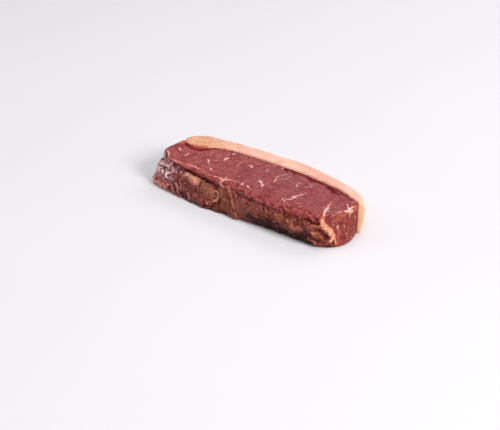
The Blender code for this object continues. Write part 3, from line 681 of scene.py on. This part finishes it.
# The marbling. The underside has the upper cut's, turned over, moved along and bent.
top_near, top_power = nearness(wavy, on_top(TOP_MARBLING), ON_CUT)
turned = wandering(wavy * (-1, 1, 1) + (9, 1, UPPER_CUT), 21, 4.5, 9.3)
under_near, under_power = nearness(turned, on_top(TOP_MARBLING), ON_CUT)
end_near, end_power = nearness(wavy, END_MARBLING, ON_END)
vein_near = np.where(z > HALF_WAY_UP, top_near, under_near)
vein_power = np.where(z > HALF_WAY_UP, top_power, under_power)
on_end = (cut_end > 0.5) | ((end_near < vein_near) & (x > 85))
vein_near = np.where(on_end, end_near, vein_near)
vein_power = np.where(on_end, end_power, vein_power)

# The other strokes, on places that wander a little.
calm = wandering(places, 4.5, 0.3, 1.7)
edge_near, edge_power = nearness(calm, SILVER_EDGE, (1, 0.6, 1))
strand_near, strand_power = nearness(wavy, WET_STRANDS, ON_SIDE)
bead_near, bead_power = nearness(wavy, WET_BEADS, ON_SIDE)
streak_near, streak_power = nearness(wavy, PINK_STREAKS, ON_SIDE)
lump_near, lump_power = nearness(calm, FAT_LUMPS, (0.8, 0.6, 1))
corner_near = nearness(wavy, CORNER_SEAM, (0.7, 0.7, 1))[0]
sinew = swell(wavy, ORANGE_SINEW, (0.6, 0.8, 1), 1.9, 0.5)
folds = swell(calm, SIDE_FOLDS, ON_SIDE, 1.9)
red_lumps = swell(wavy, RED_LUMPS, (0.8, 0.6, 1), 1.5)
pockets = swell(wavy, POCKETS, (0.8, 0.5, 1), 1.7)
crease = swell(wandering(places, 6, 0.4, 8.8), CREASE, (1, 0.4, 1))
blood, torn = spilt_and_torn(wavy)

# The sheets, on the side laid flat: x, and mm down its slope of 45 degrees.
down = np.stack([x, (-y - z) * 0.71], 1)
tan_depth = np.maximum.reduce([depth_inside(down, sheet) for sheet in TAN_SHEETS])
tan_depth = np.where(front > 0.5, tan_depth + lumps(places, 3.4, 7.7, 4) * 1.3, -5.0)
draped = depth_inside(down, DRAPED_SHEET) + lumps(places, 4, 5.8, 2) * 0.8
draped = slope(draped, -0.6, 1.2) * front

# The uncut side is lumpy, with shallow wrinkles that run down and a little to the right.
leaning = np.stack([x + 0.55 * z, y, z], 1)
bent = wandering(leaning, 8, 1.6, 2.9)
wrinkle = 1 - np.abs(lumps(bent, (4.2, 4.2, 7), 5.3, 2)) * 2.6
threads = lumps(bent, (1.8, 1.8, 3.6), 6.6, 2)
knots = lumps(places, (6.5, 6.5, 5), 3.7, 3)
pebbles = lumps(places, 2.3, 9.4, 2)

# The relief, in mm outwards: first what the knife left on the cuts.
height = lumps(places, 15, 1.5) * 0.16 * (upper + under) + lumps(places, 5, 2.5) * 0.07
height += lumps(places, 2.2, 3.1) * 0.08 + lumps(places, 1.15, 8.4) * 0.05
height += slope(vein_near, 1.6, 0.5) * 0.10 * (upper + cut_end) * vein_power
height += cut_end * lumps(places, (3, 3, 6), 4.4, 2) * 0.14
height += rim * (lumps(places, (5, 1.8, 1.8), 2.2, 2) * 0.16 + lumps(places, 1.7, 6.1) * 0.10)
# Then the wrinkled silverskin, and what lies on it.
rough_skin = uncut * (1 - draped * 0.65) * (1 - slope(tan_depth, 0, 1) * 0.5) * (1 + wet_end * 0.8)
height += rough_skin * (wrinkle * 0.25 - 0.2 + threads * 0.14 + knots * 0.75 + pebbles * 0.28)
height += far_end * (lumps(places, (7, 6, 4.5), 12.4, 3) * 1.3 - 0.4)
height += slope(edge_near, 1.7, 0.4) * 0.30 * edge_power + folds * 1.05 + draped * 0.25
height += slope(streak_near, 1.8, 0.4) * 0.45 * streak_power
height += slope(strand_near, 1.9, 0.3) * 0.60 * strand_power
height += slope(bead_near, 1.7, 0.2) * 0.65 * bead_power
height += slope(lump_near, 1.35, 0.35) * 1.3 * lump_power**1.5
height += red_lumps * (0.9 + lumps(places, 2.2, 8.8, 2) * 0.7)
height += slope(tan_depth, -0.35, 0.5) * 0.8 * (1 - 0.35 * slope(tan_depth, 0.9, 2.2))
height += slope(corner_near, 1.5, 0.4) * 0.4
height += torn * (0.7 + 0.8 * lumps(places, 1.6, 2.8))
# Then what goes in, with the foot kept flat and the face against the fat kept smooth.
height -= pockets * 1.05 + crease * 0.65 + blood * 0.5 + by_fat * 0.12
height = np.where(z < FOOT, np.minimum(height, 0) * 0.5, height)
seam_side = slope(facing[:, 1], 0.6, 0.9) * slope(z, 26.5, 24) * by_fat
height = height * (1 - seam_side) + seam_side * 0.12
raise_skin(lean.data, places, facing, height)
keep_on_skin(
    lean.data, uncut=uncut, cut_end=cut_end, rim=rim, along=x, wet_end=wet_end, film=film,
    pale_foot=pale_foot, dark_foot=dark_foot, sinew=sinew, folds=folds, draped=draped * uncut,
    red_lumps=red_lumps, dark=np.maximum(pockets, crease), blood=blood, torn=torn,
    tan_depth=np.clip(tan_depth, -4, 4), to_fat=np.minimum(to_fat, FURTHEST), wrinkle=wrinkle,
    knots=knots, pebbles=pebbles, vein_power=vein_power, edge_power=edge_power,
    strand_power=strand_power, bead_power=bead_power, streak_power=streak_power,
    lump_power=lump_power, vein_near=vein_near, edge_near=edge_near, strand_near=strand_near,
    bead_near=bead_near, streak_near=streak_near, lump_near=lump_near, corner_near=corner_near,
)


class Finish(Shade):
    """A material's nodes, with the patterns that both pieces use, sized in mm."""

    def __init__(self, name):
        self.material = bpy.data.materials.new(name)
        self.material.use_nodes = True
        super().__init__(self.material.node_tree)
        self.body = self.tree.nodes["Principled BSDF"]
        self.place = self.node("ShaderNodeTexCoord", {}, {}, OBJECT_PLACE)

    def kept(self, name):
        """The attribute of that name on the skin."""
        return self.node("ShaderNodeAttribute", {"attribute_name": name}, {}, output=2)

    def stretched(self, stretch, tilt=0.0):
        """Where a point is, for a pattern made longer along each axis by its stretch."""
        turn = {"Vector": self.place, "Rotation": (0, tilt, 0), "Scale": stretch}
        return self.node("ShaderNodeMapping", {"vector_type": "TEXTURE"}, turn)

    def cloud(self, size, detail, stretch=(1, 1, 1), tilt=0.0):
        """Noise from 0 to 1 whose lumps are size mm wide."""
        sizes = {"Scale": MM / size, "Detail": detail, "Roughness": 0.6}
        return self.node("ShaderNodeTexNoise", {}, {"Vector": self.stretched(stretch, tilt), **sizes})

    def cells(self, size, stretch):
        """How far inside its own bundle a point is, for bundles size mm wide."""
        sockets = {"Vector": self.stretched(stretch), "Scale": MM / size}
        return self.node("ShaderNodeTexVoronoi", {"feature": "DISTANCE_TO_EDGE"}, sockets)

    def layered(self, base, *coats):
        """The base colour with the coats over it, each a colour and its share."""
        for over, share in coats:
            base = self.blend(base, over, share)
        return base

    def feed(self, socket, value):
        self.tree.links.new(value.socket, self.body.inputs[socket])

    def emboss(self, relief, strength):
        sockets = {"Height": relief, "Strength": strength, "Distance": 0.0004}
        self.feed("Normal", self.node("ShaderNodeBump", {}, sockets))

    def fix(self, **values):
        for name, value in values.items():
            self.body.inputs[name.replace("_", " ")].default_value = value


beef = Finish("raw beef")
kept = beef.kept
along = kept("along")
mottle = beef.cloud(2.4, 3.0)
broad = beef.cloud(15, 2.0)
fine = beef.cloud(0.85, 2.0)
speck = beef.cloud(1.6, 1.0, (1, 1, 3))
grain = beef.cloud(1.5, 2.0, (2.6, 1, 1))
bundle = beef.cells(1.4, (1.3, 1, 5))
patchy = beef.cloud(5.5, 3.0, (1, 1, 1.4))
stripes = beef.cloud(1.1, 2.0, (7, 1, 1))
hairs = beef.cloud(0.9, 2.0, (1, 1, 3), -0.5)
flaky = mottle * 0.5 + fine * 0.5


def drawn(name, wide, thin, mottled, grainy=0.0):
    """The strokes of a name: 0 past wide half widths, 1 within thin, their edges frayed."""
    gap = kept(name + "_near") + (mottle - 0.5) * mottled + (fine - 0.5) * grainy
    return gap.rise(wide, thin)


# The cuts: purplish red flesh in small bundles, a redder rim, and white marbling, with a painted sheen of
# greyer mauve on the upper cut.
bundled = mottle * 0.3 + grain * 0.4 + fine * 0.3
coarse = mottle * 0.45 + grain * 0.4 + fine * 0.15
striped = beef.blend((124, 38, 40), (202, 108, 98), stripes.rise(0.38, 0.64))
crimson = beef.blend((98, 26, 30), (184, 94, 90), coarse.rise(0.38, 0.62))
rim_red = beef.blend(striped, crimson, along.rise(-22.0, -8.0))
end_red = beef.blend((94, 32, 32), (146, 62, 50), patchy.mix(mottle, 0.4).rise(0.36, 0.64))
to_fat = kept("to_fat")
seam_gap = to_fat + (mottle - 0.5) * 3.2 + (patchy - 0.5) * 2.4
bruise_gap = to_fat + (mottle - 0.5) * 7.0 + (patchy - 0.5) * 7.0
bruise = beef.blend((92, 14, 30), (158, 46, 52), fine.rise(0.42, 0.62))
gore = beef.blend((62, 0, 8), (134, 6, 20), mottle.mix(fine, 0.4).rise(0.42, 0.62))
vein = drawn("vein", 1.25, 0.6, 1.4, 1.2) * kept("vein_power")
fleck = beef.cloud(4.2, 1.0, (1, 1, 3)).rise(0.66, 0.73) * fine.rise(0.42, 0.60) * 0.35
fatty_vein = beef.blend((240, 190, 178), (240, 184, 162), kept("cut_end"))
cuts = beef.layered(
    beef.blend((118, 46, 48), (178, 94, 94), bundled.rise(0.38, 0.62)),
    ((132, 48, 54), broad.rise(0.4, 0.65) * 0.45),
    ((184, 88, 86), along.rise(0.0, -50.0) * broad.rise(0.7, 0.4) * 0.2),
    ((98, 28, 32), bundle.rise(0.09, 0.0) * 0.30),
    ((206, 130, 126), fine.rise(0.56, 0.70) * 0.45),
    ((84, 22, 30), speck.rise(0.42, 0.30) * 0.5),
    ((140, 82, 87), kept("film") * patchy.rise(0.34, 0.62) * 0.62),
    (rim_red, kept("rim") * 0.74),
    (end_red, kept("cut_end") * 0.8),
    ((178, 106, 104), kept("cut_end") * fine.rise(0.54, 0.70) * 0.35),
    # Darker red along the seam with the fat: partly blood, partly painted shade in the groove between the
    # pieces.
    ((96, 18, 24), seam_gap.rise(1.9, 0.3) * 0.7),
    (bruise, bruise_gap.rise(5.0, 1.6) * along.rise(-4.0, 14.0) * 0.8),
    # A darker line right at the fat: painted shade in the seam, over some blood.
    ((70, 8, 24), to_fat.rise(0.95, 0.55) * along.rise(-60.0, 20.0) * 0.85),
    (gore, kept("blood") * 0.96),
    (fatty_vein, vein.most(fleck) * (1.0 - kept("cut_end") * 0.15)),
)

# The uncut side: brown and mauve muscle under dried silverskin, wetter and paler at the left end, with
# painted highlights on its bumps and painted shade in its hollows and wrinkles.
knots = kept("knots")
pebbles = kept("pebbles")
wet_end = kept("wet_end")
mauve_zone = (broad.rise(0.45, 0.62) + along.rise(-30.0, -60.0)).least(1.0)
# Painted light and shade on the skin's relief: lighter on the pebbly bumps, near black in the hollows
# between the knots.
bump_highlight = pebbles + (mottle - 0.5) * 3.0
hollow_shade_spots = pebbles + knots * 0.6 + (mottle - 0.5) * 3.0
# On the wet left end, the mauve's pale lilac is partly painted wet highlight, and its darkest mauve painted
# shade between the strands.
mauve = beef.blend((70, 18, 28), (208, 138, 140), (flaky + pebbles * 0.12).rise(0.40, 0.58))
# The lobes at the left foot, painted lit and shaded: pale pink on the lobes and deep crimson shade between
# them.
lobed = mottle * 0.7 + fine * 0.3 + pebbles * 0.3
lobes = beef.blend((124, 32, 36), (236, 158, 146), lobed.rise(0.28, 0.72))
sheet_skin = patchy * 0.5 + hairs * 0.5
draped = beef.blend((92, 38, 32), (150, 84, 68), sheet_skin.rise(0.38, 0.60))
# The folds' paler tint: partly their silverskin, partly a painted highlight along their ridges.
fold_tint_and_highlight = beef.blend((134, 66, 56), (206, 136, 116), mottle.mix(hairs, 0.5).rise(0.42, 0.60))
side = beef.layered(
    beef.blend((82, 22, 18), (140, 72, 60), (patchy + knots * 0.22).rise(0.36, 0.62)),
    ((124, 80, 60), broad.rise(0.54, 0.40) * along.rise(-24.0, -6.0) * 0.35),
    ((140, 80, 82), mauve_zone * mottle.rise(0.35, 0.6) * 0.5),
    ((196, 120, 106), bump_highlight.rise(0.25, 0.8) * 0.6),
    ((70, 10, 20), hollow_shade_spots.rise(-0.3, -1.0) * 0.8),
    # Painted shade in the troughs of the wrinkles.
    ((78, 16, 24), kept("wrinkle").rise(0.1, -0.8) * 0.5),
    # Painted glints: fine pale hair lines over the wet skin.
    ((196, 132, 120), hairs.rise(0.58, 0.72) * 0.45),
    (mauve, wet_end * 0.85),
    ((172, 92, 76), wet_end * patchy.rise(0.58, 0.68) * 0.6),
    (lobes, kept("pale_foot") * 0.85),
    ((42, 2, 6), kept("dark_foot") * mottle.mix(patchy, 0.4).rise(0.74, 0.56) * 0.94),
    (draped, kept("draped") * 0.85),
    (fold_tint_and_highlight, kept("folds").rise(0.15, 0.9) * 0.82),
)

# What lies on the side and along its edges: sheets and lumps of fat, seams, blood and beads, and painted
# shade in the pockets.
red_flesh = beef.blend((104, 20, 22), (188, 78, 70), flaky.rise(0.40, 0.62))
tan_depth = kept("tan_depth")
sheet_shade = tan_depth.rise(-1.6, -0.5) * tan_depth.rise(0.2, -0.2) * kept("uncut")
pink_tan = beef.blend((178, 104, 84), (232, 166, 140), sheet_skin.rise(0.40, 0.58))
brown_tan = beef.blend((100, 50, 40), (164, 102, 80), mottle.mix(fine, 0.6).rise(0.38, 0.62))
tan = beef.blend(pink_tan, brown_tan, along.rise(-43.0, -37.0))
tan_edge = tan_depth.rise(1.9, 0.6) * along.rise(-24.0, -20.5) * mottle.rise(0.36, 0.52)
tan = beef.blend(tan, (222, 154, 124), tan_edge * 0.85)
tan_reach = tan_depth + (mottle - 0.5) * 2.4 + along.rise(-38.0, -43.0) * 0.9
lump_near = kept("lump_near")
lump_power = kept("lump_power")
# Painted shade: a dark ring round the biggest fat lumps, where they stand out from the side.
lump_shade_ring = lump_near.rise(1.0, 1.3) * lump_near.rise(2.3, 1.4) * lump_power.rise(0.85, 1.0)
lump_gap = lump_near + (mottle - 0.5) * (1.2 - lump_power) * 4.0
lump = lump_gap.rise(1.15, 0.75) * lump_power.rise(0.0, 0.9)
fatty = beef.blend((112, 50, 38), (194, 120, 94), mottle.mix(patchy, 0.4).rise(0.42, 0.64))
edge_power = kept("edge_power")
edge_share = (edge_power * patchy.rise(0.40, 0.56)).most(edge_power.rise(0.9, 1.0))
edge = drawn("edge", 1.3, 0.6, 0.9, 0.5) * edge_share.most(edge_power * 0.35)
streak = drawn("streak", 1.5, 0.5, 1.2) * kept("streak_power")
orange = beef.blend((166, 84, 70), (204, 122, 100), fine.rise(0.4, 0.62))
salmon = beef.blend((190, 88, 62), (234, 172, 142), mottle.mix(fine, 0.4).rise(0.40, 0.58))
# The torn flesh, red through orange pink: its darkest crimson partly painted shade, its palest tips painted
# highlights.
flesh = beef.blend((112, 22, 22), (236, 148, 124), mottle.mix(fine, 0.6).rise(0.42, 0.60))
# Painted shade, dark red to near black, in the pockets and the crease.
pocket_and_crease_shade = beef.blend((50, 8, 14), (120, 48, 50), flaky.rise(0.46, 0.64))
strand = drawn("strand", 1.5, 0.6, 2.4, 1.6) * kept("strand_power")
# Painted highlights: the wet beads and glints on the left end are coloured near white, as the light that
# shines off them.
glint = (flaky + pebbles * 0.1).rise(0.57, 0.61) * wet_end.rise(0.3, 0.9)
bead = (drawn("bead", 1.5, 0.8, 2.4, 1.6) * kept("bead_power")).most(glint * 0.75)
colour = beef.layered(
    beef.blend(cuts, side, kept("uncut")),
    (red_flesh, kept("red_lumps") * 0.85),
    ((70, 16, 22), sheet_shade * patchy.rise(0.46, 0.60) * 0.6),
    (tan, tan_reach.rise(-0.4, 0.6) * 0.92),
    ((84, 26, 28), lump_shade_ring * mottle.rise(0.3, 0.5) * 0.6),
    (fatty, lump * 0.92),
    ((232, 164, 146), edge * 0.92),
    ((224, 152, 142), streak * 0.85),
    (orange, kept("sinew") * mottle.rise(0.2, 0.5) * 0.8),
    (salmon, drawn("corner", 1.2, 0.8, 1.6, 0.9)),
    (flesh, kept("torn")),
    (gore, kept("blood").rise(0.2, 0.7) * along.rise(-56.0, -60.0) * 0.9),
    (pocket_and_crease_shade, kept("dark") * 0.85),
    ((216, 172, 178), strand * 0.85),
    ((250, 232, 232), bead * 0.9),
)
beef.feed("Base Color", colour)

wet = strand.most(bead).most(wet_end * 0.5)
rough = 0.44 + (mottle - 0.5) * 0.30 + vein * 0.08 - wet * 0.24
rough = rough + kept("uncut") * (patchy - 0.56) * 0.5
beef.feed("Roughness", rough.least(0.85).most(0.16))
beef.feed("Coat Weight", (wet * 0.5 + 0.03) * (1.0 - kept("blood")))
relief = fine * 0.35 + mottle * 0.6 + bundle.rise(0.0, 0.2) * 0.35
beef.emboss(relief + kept("uncut") * (hairs * 0.5 + mottle * 0.6), 0.6)
beef.fix(Subsurface_Weight=0.10, Subsurface_Radius=(1.0, 0.35, 0.25), Subsurface_Scale=0.002)
beef.fix(Specular_IOR_Level=0.15, Coat_Roughness=0.15, IOR=1.38)
lean.data.materials.clear()
lean.data.materials.append(beef.material)
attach(lean, "root")
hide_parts("lean_meat")

# The fat cap: the layer of firm beef fat that lay between muscle and hide, still grown to the back
# of the lean. It is pale and waxy, smooth where the knife went through, and softly lobed outside.
FAT_CELL = 0.0008
FAT_ROUNDS = 7
fat = skin_of("fat_cap", "fat", FAT_CELL, FAT_ROUNDS)
places, facing = points_of(fat.data)
x, _, z = places.T
flatness = np.abs(facing[:, 2])
wavy = wandering(places, 3.4, 0.55, 1.7)
to_lean = gap_to("lean_meat", places)
cut_face = slope(flatness, 0.55, 0.8)
right_end = slope(x, 88, 91) * slope(facing[:, 0], -0.02, 0.18) * slope(facing[:, 1], 0.3, -0.1)
right_end = right_end * (1 - cut_face)
inner = slope(to_lean, 1.2, 0.4) * slope(flatness, 0.7, 0.4) * (1 - right_end)
outer = (1 - cut_face) * (1 - inner) * (1 - right_end)
blood, torn = spilt_and_torn(wavy)
folded = 1 - np.abs(lumps(wandering(places, 9, 1.5, 6.1), (19, 19, 8), 7.3, 2)) * 2.2
veined = 1 - np.abs(lumps(wandering(places, 7, 1.8, 3.4), (13, 13, 10), 1.9, 2)) * 2.2

# The relief, in mm outwards: soft lobes and folds outside, and faint knife marks on the cuts.
height = outer * (lumps(places, (9, 9, 6), 3.3) * 0.55 + lumps(places, 3.5, 1.2, 2) * 0.22 - 0.2)
height -= outer * slope(folded, 0.72, 1.0) * 0.5
height += cut_face * lumps(places, 7, 4.2, 2) * 0.14 + lumps(places, 1.6, 5.5) * 0.06
height += inner * 0.3 + torn * (0.5 + 0.6 * lumps(places, 1.8, 2.8)) * 1.1 - blood * 0.3
height = np.where(z < FOOT, np.minimum(height, 0), height)
raise_skin(fat.data, places, facing, height)
keep_on_skin(
    fat.data, outer=outer, inner=inner, right_end=right_end, blood=blood, torn=torn, along=x,
    folded=outer * slope(folded, 0.78, 0.98), veined=outer * slope(veined, 0.9, 0.99),
    to_lean=np.minimum(to_lean, FURTHEST),
)

tallow = Finish("firm beef fat")
kept = tallow.kept
mottle = tallow.cloud(2.6, 3.0)
broad = tallow.cloud(20, 2.0)
fine = tallow.cloud(0.8, 2.0)
soft = tallow.cloud(6.5, 3.0, (2.2, 1, 1))
warm = tallow.blend((202, 138, 100), (230, 180, 140), soft.mix(mottle, 0.6).rise(0.42, 0.62))
seam_gap = kept("to_lean") + (mottle - 0.5) * 2.6 + kept("right_end") * 1.2
# The torn flap on the fat, coloured like that on the lean: its darkest red partly painted shade, its palest
# tips painted highlights.
torn_red = tallow.blend((150, 46, 36), (230, 140, 106), mottle.mix(fine, 0.6).rise(0.42, 0.60))
colour = tallow.layered(
    tallow.blend((226, 164, 144), (240, 188, 168), broad.rise(0.35, 0.65)),
    ((248, 214, 198), mottle.mix(soft, 0.4).rise(0.48, 0.66) * 0.5),
    ((228, 158, 140), soft.rise(0.52, 0.66) * 0.32),
    (warm, kept("along").rise(-30.0, -75.0) * 0.75),
    ((214, 124, 108), seam_gap.rise(2.2, 0.6) * 0.4),
    # Dark red at the seam with the lean: partly blood, partly painted shade in the groove between the
    # pieces.
    ((104, 34, 44), seam_gap.rise(0.75, 0.2) * 0.8),
    ((188, 96, 80), kept("inner") * 0.8),
    ((226, 162, 136), kept("outer") * mottle.rise(0.4, 0.6) * 0.4),
    ((248, 222, 192), kept("outer") * soft.mix(fine, 0.3).rise(0.48, 0.62) * 0.6),
    ((214, 132, 108), kept("folded") * mottle.rise(0.3, 0.6) * 0.6),
    ((186, 78, 74), kept("veined") * mottle.rise(0.46, 0.66) * 0.4),
    # The cut face at the right end: its own cream, made paler and yellower still as painted light where the
    # light from the right falls on it.
    ((255, 208, 170), kept("right_end") * mottle.rise(0.0, 0.55) * 0.9),
    ((96, 16, 18), kept("blood") * 0.75),
    (torn_red, kept("torn") * 0.9),
)
tallow.feed("Base Color", colour)
tallow.feed("Roughness", 0.5 + (mottle - 0.5) * 0.24)
tallow.emboss(fine * 0.3 + mottle * 0.6, 0.4)
tallow.fix(Subsurface_Weight=0.5, Subsurface_Radius=(1.0, 0.7, 0.5), Subsurface_Scale=0.007)
tallow.fix(Specular_IOR_Level=0.35, Coat_Weight=0.04, Coat_Roughness=0.3, IOR=1.42)
fat.data.materials.clear()
fat.data.materials.append(tallow.material)
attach(fat, "root")
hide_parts("fat_cap")
